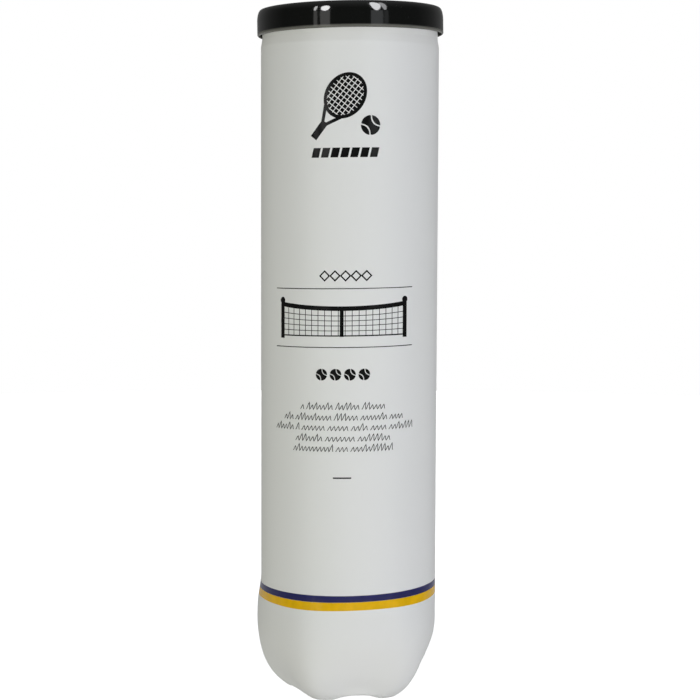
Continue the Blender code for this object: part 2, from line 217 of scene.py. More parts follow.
def white_pet():
    """Blown white PET with a satin gloss: faint drifts of tone and gloss, and scuffed feet."""
    look = Shader("white_pet", (0.8, 0.81, 0.81), 0.48, Specular_IOR_Level=0.3)
    drift = look.noise(38 * MM, 2, stretch=(1, 1, 0.35))
    tone = look.ramp(drift, [(0.2, (0.8, 0.81, 0.805)), (0.8, (0.81, 0.815, 0.82))])
    height = look.node("ShaderNodeSeparateXYZ")
    look.link(look.coordinates, height.inputs["Vector"])
    near_floor = ranged(look.tree, height.outputs["Z"], 3.5 * MM, 0.2 * MM)
    grain = look.ramp(look.noise(1.6 * MM, 5, stretch=(1, 1, 3)), [(0.48, 0.0), (0.62, 1.0)])
    scuff = look.node("ShaderNodeMath", operation="MULTIPLY")
    look.link(near_floor, scuff.inputs[0])
    look.link(grain, scuff.inputs[1])
    look.colour(look.mix(scuff.outputs[0], tone, (0.62, 0.62, 0.6)))
    look.roughness(look.noise(30 * MM, 2, stretch=(1, 1, 0.5)), 0.45, 0.52)
    look.bump(look.noise(5 * MM, 1, stretch=(1, 1, 0.3)), 0.1, 0.02 * MM)
    return look.material


def ink(name, colour):
    """Screen-printed ink, a little uneven in tone and gloss."""
    look = Shader(name, colour, 0.1, Specular_IOR_Level=0.25)
    stops = [(0.3, tuple(0.86 * c for c in colour)), (0.7, colour)]
    bump = (0.1, 0.005 * MM)
    return look.mottle((3.5 * MM, 4), stops, (6 * MM, 3), (0.07, 0.13), (0.5 * MM, 2), bump)


def black_lid():
    """Glossy injection-moulded black plastic with fine dust and hairline scratches, and a painted reflection:
    its lower lip is painted grey.
    """
    black, grey = (0.005, 0.0055, 0.005), (0.13, 0.13, 0.115)
    look = Shader("black_lid", black, 0.07)
    dust = look.ramp(look.noise(0.55 * MM, 2), [(0.72, black), (0.8, (0.05, 0.05, 0.047))])
    height = look.node("ShaderNodeVectorMath", operation="DOT_PRODUCT")
    look.link(look.coordinates, height.inputs[0])
    height.inputs[1].default_value = LID_AXIS
    # Painted reflection: the lower lip is painted grey where it shows a band of reflected light.
    top, bottom = LID_FOOT + 1.5 * MM, LID_FOOT + 0.7 * MM
    lip = ranged(look.tree, height.outputs["Value"], top, bottom, curve="SMOOTHSTEP")
    look.colour(look.mix(lip, dust, grey))
    look.roughness(look.noise(7 * MM, 5), 0.04, 0.08)
    strands = look.noise(4 * MM, 6, stretch=(1, 9, 0.6), distortion=1.5)
    look.bump(look.ramp(strands, [(0.6, 0.0), (0.64, 1.0), (0.66, 0.0)]), 0.08, 0.01 * MM)
    look.bump(look.noise(9 * MM, 1), 0.3, 0.05 * MM)
    return look.material


def aluminium(name, stretch):
    """Bright rolled sheet: grain along the way it was rolled, with fine handling marks."""
    look = Shader(name, (0.8, 0.81, 0.82), 0.28, Metallic=1.0)
    grain = look.noise(0.5 * MM, 4, stretch=stretch)
    look.colour(look.ramp(grain, [(0.25, (0.7, 0.71, 0.725)), (0.75, (0.86, 0.865, 0.87))]))
    look.roughness(look.noise(2.5 * MM, 5, stretch=stretch), 0.2, 0.36)
    look.bump(grain, 0.25, 0.01 * MM)
    marks = look.ramp(look.noise(5 * MM, 6, distortion=2.0), [(0.61, 0.0), (0.64, 1.0), (0.67, 0.0)])
    look.bump(marks, 0.2, 0.015 * MM)
    return look.material


def sealing_compound():
    """Matt grey-green lining compound, dried uneven."""
    look = Shader("sealing_compound", (0.3, 0.32, 0.29), 0.8)
    stops = [(0.3, (0.25, 0.27, 0.24)), (0.7, (0.36, 0.38, 0.34))]
    return look.mottle((1.5 * MM, 4), stops, (3 * MM, 3), (0.7, 0.9), (0.8 * MM, 3), (0.4, 0.04 * MM))


def core_rubber():
    """Moulded dark rubber, buffed for the cement."""
    look = Shader("core_rubber", (0.05, 0.048, 0.05), 0.75)
    stops = [(0.3, (0.035, 0.034, 0.036)), (0.7, (0.08, 0.077, 0.075))]
    grain = (0.7 * MM, 4, (1, 1, 4))
    return look.mottle((2 * MM, 5), stops, (4 * MM, 3), (0.65, 0.88), grain, (0.5, 0.05 * MM))


def felt(name, light):
    """Optic yellow felt: matted wool and nylon with paler and greener tufts."""
    dark, pale = (0.5 * light, 0.68 * light, 0.025), (0.78 * light, 0.92 * light, 0.12)
    look = Shader(name, pale, 0.95, Sheen_Weight=0.7, Sheen_Roughness=0.5)
    look.set("Sheen Tint", (0.9, 1.0, 0.5, 1.0))
    look.set("Specular IOR Level", 0.15)
    tufts = look.noise(1.1 * MM, 6, distortion=1.2)
    clouds = look.noise(9 * MM, 3)
    blotch = look.ramp(clouds, [(0.35, dark), (0.65, pale)])
    look.colour(look.mix(look.ramp(tufts, [(0.35, 0.0), (0.65, 1.0)]), blotch, pale))
    look.roughness(tufts, 0.85, 1.0)
    look.bump(look.noise(0.35 * MM, 4, distortion=2.5), 0.9, 0.25 * MM)
    look.bump(tufts, 0.6, 0.3 * MM)
    return look.material


def seam_cement():
    """Pale vulcanised cement in the seam, slightly rough, with felt dust caught on it."""
    look = Shader("seam_cement", (0.78, 0.78, 0.72), 0.65)
    stops = [(0.35, (0.68, 0.7, 0.56)), (0.65, (0.84, 0.84, 0.79))]
    return look.mottle((2.5 * MM, 5), stops, (2 * MM, 3), (0.55, 0.8), (0.6 * MM, 3), (0.4, 0.04 * MM))


# Mesh helpers


def piece(name, points, faces, material, body, slot, nodes, sharp, matrix=Matrix()):
    """A smooth-shaded piece that rides on a CAD body and may stand for CAD nodes. Its slot is not used.
    The matrix moves its points."""
    mesh = bpy.data.meshes.new(name)
    mesh.from_pydata([tuple(matrix @ Vector(point)) for point in points], [], faces)
    return piece_of(name, mesh, material, body, slot, nodes, sharp)


def piece_of(name, mesh, material, body, slot, nodes, sharp):
    """The same from a ready mesh."""
    mesh.name = name
    mesh.validate()
    mesh.shade_smooth()
    mesh.set_sharp_from_angle(angle=math.radians(sharp))
    mesh.materials.clear()
    mesh.materials.append(material)
    obj = bpy.data.objects.new(name, mesh)
    bpy.context.scene.collection.objects.link(obj)
    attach(obj, body)
    if nodes:
        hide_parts(*nodes)
    return obj


def evaluated_mesh(obj):
    """A new mesh of an object with its modifiers or its curve settings applied."""
    bpy.context.view_layer.update()
    return bpy.data.meshes.new_from_object(obj.evaluated_get(bpy.context.evaluated_depsgraph_get()))


def solidify(obj, thickness, even=True):
    """Gives an open surface its wall, behind the side that its faces point to, with crisp rims."""
    modifier = obj.modifiers.new("wall", "SOLIDIFY")
    modifier.thickness = thickness
    modifier.offset = -1
    modifier.use_even_offset = even
    walled = evaluated_mesh(obj)
    obj.modifiers.clear()
    obj.data = walled
    walled.set_sharp_from_angle(angle=math.radians(40))


def rounded(*corners, steps=5):
    """A path through (r, z, radius) corners, each rounded by its radius."""
    points = [Vector(corner[:2]) for corner in corners]
    path = [points[0]]
    for before, here, after, corner in zip(points, points[1:], points[2:], corners[1:]):
        radius = corner[2] if len(corner) > 2 else 0.0
        back, ahead = (before - here).normalized(), (after - here).normalized()
        angle = back.angle(ahead)
        if radius <= 0 or angle > math.radians(178):
            path.append(here)
            continue
        reach = radius / math.tan(angle / 2)
        centre = here + (back + ahead).normalized() * radius / math.sin(angle / 2)
        start, end = here + back * reach - centre, here + ahead * reach - centre
        turn = start.angle_signed(end)
        for i in range(steps + 1):
            path.append(centre + Matrix.Rotation(-turn * i / steps, 2) @ start)
    path.append(points[-1])
    return path


def turned_mesh(path, sides, centre=(0.0, 0.0), closed=False):
    """Points and faces of a (radius, height) path turned about Z, with one point where it meets the axis.
    The path runs down its outer side, top to bottom."""
    points, rings = [], []
    for radius, height in path:
        first = len(points)
        if radius < 1e-7:
            points.append((centre[0], centre[1], height))
            rings.append([first] * sides)
            continue
        for side in range(sides):
            turn = 2 * math.pi * side / sides
            x, y = radius * math.cos(turn), radius * math.sin(turn)
            points.append((centre[0] + x, centre[1] + y, height))
        rings.append(list(range(first, first + sides)))
    faces = []
    pairs = list(zip(rings, rings[1:])) + ([(rings[-1], rings[0])] if closed else [])
    for upper, lower in pairs:
        for side in range(sides):
            ahead = (side + 1) % sides
            corners = [upper[side], lower[side], lower[ahead], upper[ahead]]
            face = [c for i, c in enumerate(corners) if c != corners[i - 1]]
            if len(face) > 2:
                faces.append(face)
    return points, faces


def turned_piece(name, path, sides, *looks, matrix=Matrix(), **shape):
    """A piece turned about Z from a (radius, height) path. Its looks are piece's arguments from material to
    sharp."""
    return piece(name, *turned_mesh(path, sides, **shape), *looks, matrix)


# Camera and studio


CAMERA_AT = (0.45 * MM, -737 * MM, 202.6 * MM)
CAMERA_LENS = 91.35
CAMERA_PITCH, CAMERA_ROLL = math.radians(90 - 4.68), math.radians(0.2)


def make_camera():
    """The viewpoint: in front of the can, a little above its middle, looking slightly down."""
    data = bpy.data.cameras.new("camera")
    data.sensor_width = 36.0
    data.lens = CAMERA_LENS
    camera = bpy.data.objects.new("camera", data)
    camera.location = CAMERA_AT
    turn = Matrix.Rotation(CAMERA_PITCH, 3, "X") @ Matrix.Rotation(CAMERA_ROLL, 3, "Z")
    camera.rotation_euler = turn.to_euler()
    bpy.context.scene.collection.objects.link(camera)
    bpy.context.scene.camera = camera


LIGHTS_AIM = Vector((0, 0, 0.14))
WHITE, COOL, WARM, BLUE = (1.0, 1.0, 1.0), (0.97, 0.98, 1.0), (1.0, 0.98, 0.96), (0.94, 0.97, 1.0)
# Each light is its name, azimuth, elevation, distance, (width, height), watts and colour. Keys light the
# can and don't show in its gloss.
KEYS = (
    ("key_left", -52, -7, 1.35, (0.5, 0.5), 4.35, (1.0, 1.0, 0.8)),
    ("key_front", 8, -7, 1.35, (0.5, 0.5), 3.5, WHITE),
    ("key_right", 52, -7, 1.35, (0.5, 0.5), 5.95, (0.98, 0.99, 1.0)),
    ("key_back", 180, 4, 1.6, (0.9, 0.9), 9.0, WHITE),
    ("overhead", 10, 78, 1.2, (0.6, 0.6), 2.0, (0.4, 0.66, 1.0)),
)
# Glints only show in its gloss.
GLINTS = (
    ("ceiling", 10, 78, 1.2, (0.6, 0.6), 1.0, (0.95, 0.97, 1.0)),
    ("umbrella_left", -30.7, 25.5, 1.1, (0.19, 0.34), 3.2, WHITE),
    ("umbrella_left_edge", -43.2, 25.5, 1.1, (0.07, 0.3), 0.55, WHITE),
    ("umbrella_right", 32.0, 34, 1.1, (0.21, 0.68), 5.6, COOL),
    ("umbrella_right_edge", 42.6, 34, 1.1, (0.11, 0.62), 1.1, COOL),
    ("band_left", -30.2, 7, 1.3, (0.269, 0.42), 0.44, WARM),
    ("band_left_edge", -42.2, 7, 1.3, (0.104, 0.42), 0.15, WARM),
    ("band_right", 32.3, 7, 1.3, (0.34, 0.42), 0.39, BLUE),
    ("band_right_edge", 44.0, 7, 1.3, (0.12, 0.42), 0.06, BLUE),
)
# For each kind of ray, the parts that a direction's light is the sum of, each as an axis, two places on
# it and the light at both. The room is light near the table and dim above it, and white to the camera.
SKIES = {
    "": [("Z", -0.3, 0.3, 0.34, 0.2)],
    "Is Glossy Ray": [
        ("Z", -0.28, -0.05, 0.4, 0.05),
        ("Y", 0.0, 0.7, 0.0, 0.12),
        ("Z", 0.35, 0.85, 0.0, 0.35),
    ],
    "Is Camera Ray": [],
}
FLOOR_RADIUS, FLOOR_MIDDLE = 1.2, 0.5
FLOOR_DROP = 0.2 * MM


def area_light(name, azimuth, elevation, distance, size, watts, colour):
    """A soft light at this place round the can, facing it. Umbrellas are round."""
    data = bpy.data.lights.new(name, "AREA")
    data.shape = "ELLIPSE" if name.startswith("umbrella") else "RECTANGLE"
    data.size, data.size_y = size
    data.energy = watts
    data.color = colour
    light = bpy.data.objects.new(name, data)
    a, e = math.radians(azimuth), math.radians(elevation)
    away = Vector((math.sin(a) * math.cos(e), -math.cos(a) * math.cos(e), math.sin(e)))
    light.location = LIGHTS_AIM + distance * away
    light.rotation_euler = (-away).to_track_quat("-Z", "Y").to_euler()
    light.visible_camera = False
    bpy.context.scene.collection.objects.link(light)
    return light


def make_sky():
    """The light of the room itself."""
    world = bpy.data.worlds.new("studio")
    world.use_nodes = True
    bpy.context.scene.world = world
    tree = world.node_tree
    tree.nodes.remove(tree.nodes["Background"])
    path = tree.nodes.new("ShaderNodeLightPath")
    direction = tree.nodes.new("ShaderNodeTexCoord")
    split = tree.nodes.new("ShaderNodeSeparateXYZ")
    tree.links.new(direction.outputs["Generated"], split.inputs["Vector"])
    shader = None
    for ray, parts in SKIES.items():
        background = tree.nodes.new("ShaderNodeBackground")
        background.inputs["Color"].default_value = (*WHITE, 1.0)
        total = None
        for axis, *numbers in parts:
            light = ranged(tree, split.outputs[axis], *numbers)
            if total:
                both = tree.nodes.new("ShaderNodeMath")
                tree.links.new(total, both.inputs[0])
                tree.links.new(light, both.inputs[1])
                light = both.outputs["Value"]
            total = light
            tree.links.new(total, background.inputs["Strength"])
        seen = background.outputs["Background"]
        if shader:
            choose = tree.nodes.new("ShaderNodeMixShader")
            tree.links.new(path.outputs[ray], choose.inputs["Fac"])
            tree.links.new(shader, choose.inputs[1])
            tree.links.new(seen, choose.inputs[2])
            seen = choose.outputs["Shader"]
        shader = seen
    tree.links.new(shader, tree.nodes["World Output"].inputs["Surface"])


def make_floor():
    """A pale round table. It glows, a little more where the light from overhead thins out."""
    rings = [Vector((radius, 0.0)) for radius in (FLOOR_RADIUS, FLOOR_MIDDLE, 0.0)]
    points, faces = turned_mesh(rings, 96)
    mesh = bpy.data.meshes.new("floor")
    mesh.from_pydata(points, [], [face[::-1] for face in faces])
    look = Shader("floor", (0.9, 0.9, 0.9), 0.8, Specular_IOR_Level=0.1)
    look.colour(look.ramp(look.noise(0.3, 3), [(0.3, 0.895), (0.7, 0.905)]))
    distance = look.node("ShaderNodeVectorMath", operation="LENGTH")
    look.link(look.coordinates, distance.inputs[0])
    glow = ranged(look.tree, distance.outputs["Value"], 0.15, 0.7, 0.8, 1.03)
    look.set("Emission Color", (*WHITE, 1.0))
    look.link(glow, look.shader.inputs["Emission Strength"])
    mesh.materials.append(look.material)
    floor = bpy.data.objects.new("floor", mesh)
    floor.location.z = -FLOOR_DROP
    floor.visible_diffuse = floor.visible_glossy = floor.visible_shadow = False
    bpy.context.scene.collection.objects.link(floor)


def make_studio():
    """A pale table in a dim room, with keys round the can, a light overhead and umbrellas in its gloss."""
    make_sky()
    for lights, is_key in ((KEYS, True), (GLINTS, False)):
        for row in lights:
            light = area_light(*row)
            light.visible_diffuse, light.visible_glossy = is_key, not is_key
    make_floor()
    bpy.context.scene.view_settings.view_transform = "Standard"


# Can body


# The base's outline at a foot and half way between two feet, as (radius, height) shares of the tube's
# radius and the base's height
OUTLINES = (
    ((1.0, 1.25), (1.0, 1.25)),
    ((1.0, 1.0), (1.0, 1.0)),
    ((1.049, 0.75), (1.0, 0.75)),
    ((1.049, 0.5), (0.984, 0.5)),
    ((0.992, 0.271), (0.871, 0.271)),
    ((0.869, 0.104), (0.759, 0.135)),
    ((0.67, -0.012), (0.701, 0.058)),
    ((0.56, -0.012), (0.575, 0.046)),
    ((0.438, 0.033), (0.438, 0.054)),
)


def smooth_path(points, steps):
    """A Catmull-Rom curve through points, from the second one on; the first only sets its direction."""
    ends = [Vector(p) for p in points]
    ends.append(2 * ends[-1] - ends[-2])
    path = []
    for before, start, end, after in zip(ends, ends[1:], ends[2:], ends[3:]):
        linear, square = end - before, 2 * before - 5 * start + 4 * end - after
        cube = 3 * start - before - 3 * end + after
        for i in range(steps):
            t = i / steps
            path.append(0.5 * (2 * start + linear * t + square * t**2 + cube * t**3))
    path.append(ends[-2])
    return path


def base_outline(shares):
    """The base's outline in metres, down to the push-up."""
    points = [(r * BODY_RADIUS, z * BASE_HEIGHT) for r, z in shares]
    return smooth_path([*points, (0.0, PUSH_UP)], BASE_STEPS)


FOOT, VALLEY = [base_outline(shares) for shares in zip(*OUTLINES)]


def base_column(angle):
    """The base's outline at this angle from the front, as (radius, height) points down to the push-up."""
    wave = math.cos(FOOT_COUNT * (angle - FOOT_TURN))
    share = ((1 + wave) / 2) ** FOOT_SHARPNESS
    column = [v.lerp(f, share) for v, f in zip(VALLEY, FOOT)][:-1]
    # The feet are pressed flat where they stand, with a soft edge to the flat.
    return [(r, z if z > FOOT_SOFT else FOOT_SOFT * math.exp(z / FOOT_SOFT - 1)) for r, z in column]


def base_radius(angle, height):
    """The outer radius of the base at this angle and height, above its feet."""
    column = base_column(angle)
    for (wide, upper), (narrow, lower) in zip(column, column[1:]):
        if lower <= height <= upper:
            return narrow + (wide - narrow) * (height - lower) / max(upper - lower, 1e-9)
    return BODY_RADIUS


def make_can_body(material):
    """The blown can: flange, neck, shoulder, tube and the five-footed base."""
    sides, tube_rings = 240, 24
    shoulder_top = FLANGE_TOP - 9.5 * MM
    upper = rounded(
        (BODY_HOOK_INNER, SEAM_TOP - 2.6 * MM),
        (BODY_HOOK_INNER, FLANGE_TOP - BODY_WALL, 0.15 * MM),
        (NECK_RADIUS, FLANGE_TOP - BODY_WALL, 0.15 * MM),
        (NECK_RADIUS, shoulder_top, 1.6 * MM),
        (BODY_RADIUS, shoulder_top - 3.5 * MM, 2.2 * MM),
        (BODY_RADIUS, shoulder_top - 8 * MM),
    )
    tube_top, tube_bottom = upper[-1].y, BASE_HEIGHT
    tube = [(BODY_RADIUS, tube_top + (tube_bottom - tube_top) * i / tube_rings) for i in range(1, tube_rings)]
    points, columns = [], []
    for side in range(sides):
        angle = 2 * math.pi * side / sides
        column = []
        for radius, height in [*upper, *tube, *base_column(angle)]:
            column.append(len(points))
            points.append((radius * math.sin(angle), -radius * math.cos(angle), height))
        columns.append(column)
    centre = len(points)
    points.append((0.0, 0.0, PUSH_UP))
    faces = []
    for side, here in enumerate(columns):
        there = columns[(side + 1) % sides]
        faces += [(here[i], here[i + 1], there[i + 1], there[i]) for i in range(len(here) - 1)]
        faces.append((here[-1], centre, there[-1]))
    solidify(piece("can_shell", points, faces, material, "can", "white_pet", ["can_body"], 60), BODY_WALL)


# Print on the can


# How far each part of the print lies to the right of the print's middle, in degrees
SHIFTS = {"emblem": 3.0, "blocks": 1.8, "diamonds": 2.3, "balls": 0.7, "rows": 0.2, "dash": 0.5}
# Heights over the table
BLOCKS_LOW, BLOCKS_HIGH = 221.1 * MM, 224.9 * MM
DIAMONDS_MIDDLE = 174.6 * MM
RULE_HEIGHTS = (169.5 * MM, 146.2 * MM)
RULE_HALF_TURN = math.radians(48.2)
NET_LOW, NET_HIGH = 150.4 * MM, 164.0 * MM
ICONS_MIDDLE = 135.4 * MM
DASH_LOW, DASH_HIGH = 93.75 * MM, 94.3 * MM
# Height of the middle of each row of pen waves, its width, and the waves in each of its words
ROWS = (
    (122.3, 35.1, (1, 7, 6, 6)),
    (118.0, 51.7, (3, 10, 6, 7, 4)),
    (113.9, 62.0, (6, 1, 6, 5, 4, 4, 7)),
    (109.6, 39.8, (7, 7, 8)),
    (105.5, 42.2, (11, 3, 11)),
)


class Print:
    """Flat artwork in (across, up) metres, wrapped on the tube as thin ink. The side of the can that it goes
    on is a name, an ink and a turn from the front."""

    INK = 0.035 * MM
    SINK = 0.01 * MM
    CUT = 1.0 * MM

    def __init__(self):
        self.mesh = bmesh.new()

    def polygon(self, points):
        self.mesh.faces.new([self.mesh.verts.new((x, y, 0.0)) for x, y in points])

    def strip(self, lower, upper):
        """Fills between two edges of equally many points."""
        low = [self.mesh.verts.new((x, y, 0.0)) for x, y in lower]
        high = [self.mesh.verts.new((x, y, 0.0)) for x, y in upper]
        for i in range(len(low) - 1):
            self.mesh.faces.new([low[i], low[i + 1], high[i + 1], high[i]])

    def stroke(self, points, width, closed=False):
        """A line of this width through points, mitred at its bends."""
        path = [Vector(point) for point in points]
        count = len(path)
        left, right = [], []
        for i, here in enumerate(path):
            into = here - path[i - 1] if closed or i else Vector((0, 0))
            out = path[(i + 1) % count] - here if closed or i < count - 1 else Vector((0, 0))
            along = (into.normalized() + out.normalized()).normalized()
            guide = out if out.length else into
            cosine = max(0.4, abs(along.dot(guide.normalized())))
            aside = Vector((-along.y, along.x)) * width / 2 / cosine
            left.append(here + aside)
            right.append(here - aside)
        if closed:
            left.append(left[0])
            right.append(right[0])
        self.strip(right, left)

    def disc(self, centre, radius):
        """A disc, filled by slices."""
        arc = [(radius * math.cos(math.pi * i / 20), radius * math.sin(math.pi * i / 20)) for i in range(21)]
        x, y = centre
        self.strip([(x - across, y - up) for across, up in arc], [(x - across, y + up) for across, up in arc])

    def ball(self, centre, radius, tilt, gap):
        """A ball icon: a disc split by the two lines of its seam."""
        turn = Matrix.Rotation(tilt, 2)
        rises = [math.sin(math.pi * (i / 16 - 0.5)) for i in range(17)]

        def place(across, up):
            return Vector(centre) + turn @ Vector((across, up))

        def seam(up):
            return 0.38 * radius + 0.62 * up * up / radius

        def reach(up):
            return math.sqrt(max(radius * radius - up * up, 0.0))

        inner = [(min(seam(up) - gap / 2, reach(up)), up) for up in (radius * rise for rise in rises)]
        self.strip([place(-across, up) for across, up in inner], [place(across, up) for across, up in inner])
        # The height at which the seam's outer edge leaves the disc
        top = radius
        while seam(top) + gap / 2 > reach(top) and top > 0:
            top -= 0.01 * radius
        caps = [top * rise for rise in rises]
        for sign in (1, -1):
            near = [place(sign * (seam(up) + gap / 2), up) for up in caps]
            far = [place(sign * max(reach(up), seam(up) + gap / 2), up) for up in caps]
            self.strip(near, far)

    def finish(self, side, part):
        """Cuts the artwork into narrow slices, wraps it round the tube and gives it its thickness."""
        name, material, turn = side
        turn += math.radians(SHIFTS.get(part.split("_")[0], 0.0))
        mesh = self.mesh
        bmesh.ops.remove_doubles(mesh, verts=mesh.verts, dist=0.0005 * MM)
        low = min(v.co.x for v in mesh.verts)
        high = max(v.co.x for v in mesh.verts)
        place = math.ceil(low / self.CUT) * self.CUT
        while place < high:
            parts = [*mesh.verts, *mesh.edges, *mesh.faces]
            bmesh.ops.bisect_plane(mesh, geom=parts, plane_co=(place, 0, 0), plane_no=(1, 0, 0))
            place += self.CUT
        for face in mesh.faces:
            if face.normal.z < 0:
                face.normal_flip()
        out = BODY_RADIUS + self.INK
        for vertex in mesh.verts:
            across, up, _ = vertex.co
            angle = across / BODY_RADIUS + turn
            vertex.co = (out * math.sin(angle), -out * math.cos(angle), up + PRINT_SLOPE * across)
        data = bpy.data.meshes.new(part)
        mesh.to_mesh(data)
        mesh.free()
        printed = piece_of(f"{name}_{part}", data, material, "can", "white_pet", (), 60)
        solidify(printed, self.INK + self.SINK, even=False)


def rectangle(low, high):
    return [(low[0], low[1]), (high[0], low[1]), (high[0], high[1]), (low[0], high[1])]


def make_emblem(side):
    """A generic racket, its strings left white, with a ball beside it."""
    art = Print()
    centre, tilt = Vector((-0.8 * MM, 245.2 * MM)), Matrix.Rotation(math.radians(-38), 2)
    wide, tall, thread, pitch = 7.6 * MM, 9.2 * MM, 0.36 * MM, 1.9 * MM
    rim, rim_width, grip_width = 0.3 * MM, 1.3 * MM, 2.9 * MM
    throat = -tall - 4.2 * MM

    def place(x, y):
        return centre + tilt @ Vector((x, y))

    around = [2 * math.pi * i / 64 for i in range(64)]
    head = bmesh.new()
    head.faces.new([head.verts.new((wide * math.cos(t), tall * math.sin(t), 0.0)) for t in around])
    lines = [(Vector((1, 0, 0)), i * pitch) for i in range(-3, 4)]
    lines += [(Vector((0, 1, 0)), (i + 0.5) * pitch) for i in range(-5, 5)]
    strung = 1 - 0.7 * MM / wide
    for normal, offset in lines:
        for edge in (offset - thread / 2, offset + thread / 2):
            parts = [*head.verts, *head.edges, *head.faces]
            bmesh.ops.bisect_plane(head, geom=parts, plane_co=normal * edge, plane_no=normal)
    for face in head.faces:
        middle = face.calc_center_median()
        if any(abs(middle.dot(normal) - offset) < thread / 2 for normal, offset in lines):
            continue
        # Cells stay inside the frame; the frame itself is drawn over their outer ends.
        art.polygon([place(*(v.co.xy * strung)) for v in face.verts])
    head.free()
    art.finish(side, "emblem_strings")

    art = Print()
    oval = [place((wide - rim) * math.cos(t), (tall - rim) * math.sin(t)) for t in around]
    art.stroke(oval, rim_width, closed=True)
    art.finish(side, "emblem_frame")

    art = Print()
    for hand in (-1, 1):
        art.stroke([place(hand * 3.9 * MM, -7.7 * MM), place(hand * 0.85 * MM, throat)], rim_width)
    art.finish(side, "emblem_throat")

    art = Print()
    art.stroke([place(0, throat + 0.5 * MM), place(0, throat - 7.4 * MM)], grip_width)
    art.finish(side, "emblem_handle")

    art = Print()
    art.ball((9.3 * MM, 233.6 * MM), 3.9 * MM, math.radians(40), 0.6 * MM)
    art.finish(side, "emblem_ball")


def make_front_print(*side):
    """One printed side of the can, from the emblem down to the closing dash."""
    make_emblem(side)

    art = Print()
    count, block, gap, slant = 7, 3.05 * MM, 0.85 * MM, 0.9 * MM
    left = -(count * block + (count - 1) * gap) / 2
    for i in range(count):
        x = left + i * (block + gap)
        lower = [(x - slant / 2, BLOCKS_LOW), (x + block - slant / 2, BLOCKS_LOW)]
        upper = [(x + block + slant / 2, BLOCKS_HIGH), (x + slant / 2, BLOCKS_HIGH)]
        art.polygon(lower + upper)
    art.finish(side, "blocks")

    art = Print()
    middle, reach = DIAMONDS_MIDDLE, 1.9 * MM
    for i in range(5):
        x = (i - 2) * 4.2 * MM
        diamond = [(x - reach, middle), (x, middle - reach), (x + reach, middle), (x, middle + reach)]
        art.stroke(diamond, 0.55 * MM, closed=True)
    art.finish(side, "diamonds")

    art = Print()
    half, thin = RULE_HALF_TURN * BODY_RADIUS, 0.17 * MM
    for height in RULE_HEIGHTS:
        art.polygon(rectangle((-half, height - thin), (half, height + thin)))
    art.finish(side, "rules")

    make_net(side)

    art = Print()
    for i in range(4):
        art.ball(((i - 1.5) * 5.75 * MM, ICONS_MIDDLE), 2.35 * MM, math.radians(38), 0.34 * MM)
    art.finish(side, "balls")

    make_scribble(side)

    art = Print()
    half = 3.65 * MM
    art.polygon(rectangle((-half, DASH_LOW), (half, DASH_HIGH)))
    art.finish(side, "dash")


def make_net(side):
    """A tennis net between its posts: a broad band along the top, a sagging mesh and a centre strap."""
    art = Print()
    half, low, sag = 26.2 * MM, NET_LOW, 1.5 * MM
    band, thread, hem = 1.8 * MM, 0.26 * MM, low + 0.4 * MM
    columns, rows = 19, 4

    def top(x):
        return NET_HIGH - sag * (1 - (x / half) ** 2)

    places = [-half + 2 * half * i / 40 for i in range(41)]
    art.strip([(x, top(x) - band) for x in places], [(x, top(x)) for x in places])
    art.stroke([(x, hem) for x in places], 0.5 * MM)
    for i in range(1, columns):
        x = -half + 2 * half * i / columns
        art.stroke([(x, low + 0.6 * MM), (x, top(x) - 1.7 * MM)], thread)
    for i in range(1, rows + 1):
        share = i / (rows + 1)
        art.stroke([(x, hem + share * (top(x) - band - hem)) for x in places], thread)
    art.stroke([(0, low), (0, top(0))], 1.5 * MM)
    for hand in (-1, 1):
        x = hand * (half + 0.6 * MM)
        art.stroke([(x, low - 0.8 * MM), (x, NET_HIGH + 0.4 * MM)], 2.0 * MM)
        art.disc((x, NET_HIGH + 0.7 * MM), 1.35 * MM)
    art.finish(side, "net")


def make_scribble(side):
    """Five centred rows of slanted pen waves in word lengths, where a paragraph would be."""
    random = Random(7)
    art = Print()
    tall, slant, space = 1.7 * MM, 0.22, 0.7
    for height, width, words in ROWS:
        low = height * MM - tall / 2
        pitch = width * MM / (sum(words) + space * (len(words) - 1))
        x = -width * MM / 2
        for waves in words:
            points = []
            for wave in range(waves):
                crest = tall * (1.6 if random.random() < 0.25 else 1.0)
                for i in range(6):
                    rise = crest * (0.5 - 0.5 * math.cos(math.pi * i / 3))
                    points.append((x + pitch * (wave + i / 6) + slant * rise, low + rise))
            points.append((x + pitch * waves, low))
            art.stroke(points, 0.27 * MM)
            x += pitch * (waves + space)
    art.finish(side, "rows")


def make_stripe(name, top, bottom, material):
    """A printed stripe all the way round, on the swelling of the feet."""
    sides, rings = 240, 7
    points, faces = [], []
    for side in range(sides):
        angle = 2 * math.pi * side / sides
        for ring in range(rings):
            height = top + (bottom - top) * ring / (rings - 1) + STRIPE_SLOPE * BODY_RADIUS * math.sin(angle)
            radius = base_radius(angle, height) + Print.INK
            points.append((radius * math.sin(angle), -radius * math.cos(angle), height))
    for side in range(sides):
        here, there = side * rings, (side + 1) % sides * rings
        faces += [(here + i, here + i + 1, there + i + 1, there + i) for i in range(rings - 1)]
    stripe = piece(name, points, faces, material, "can", "white_pet", (), 60)
    solidify(stripe, Print.INK + Print.SINK, even=False)


# Metal end


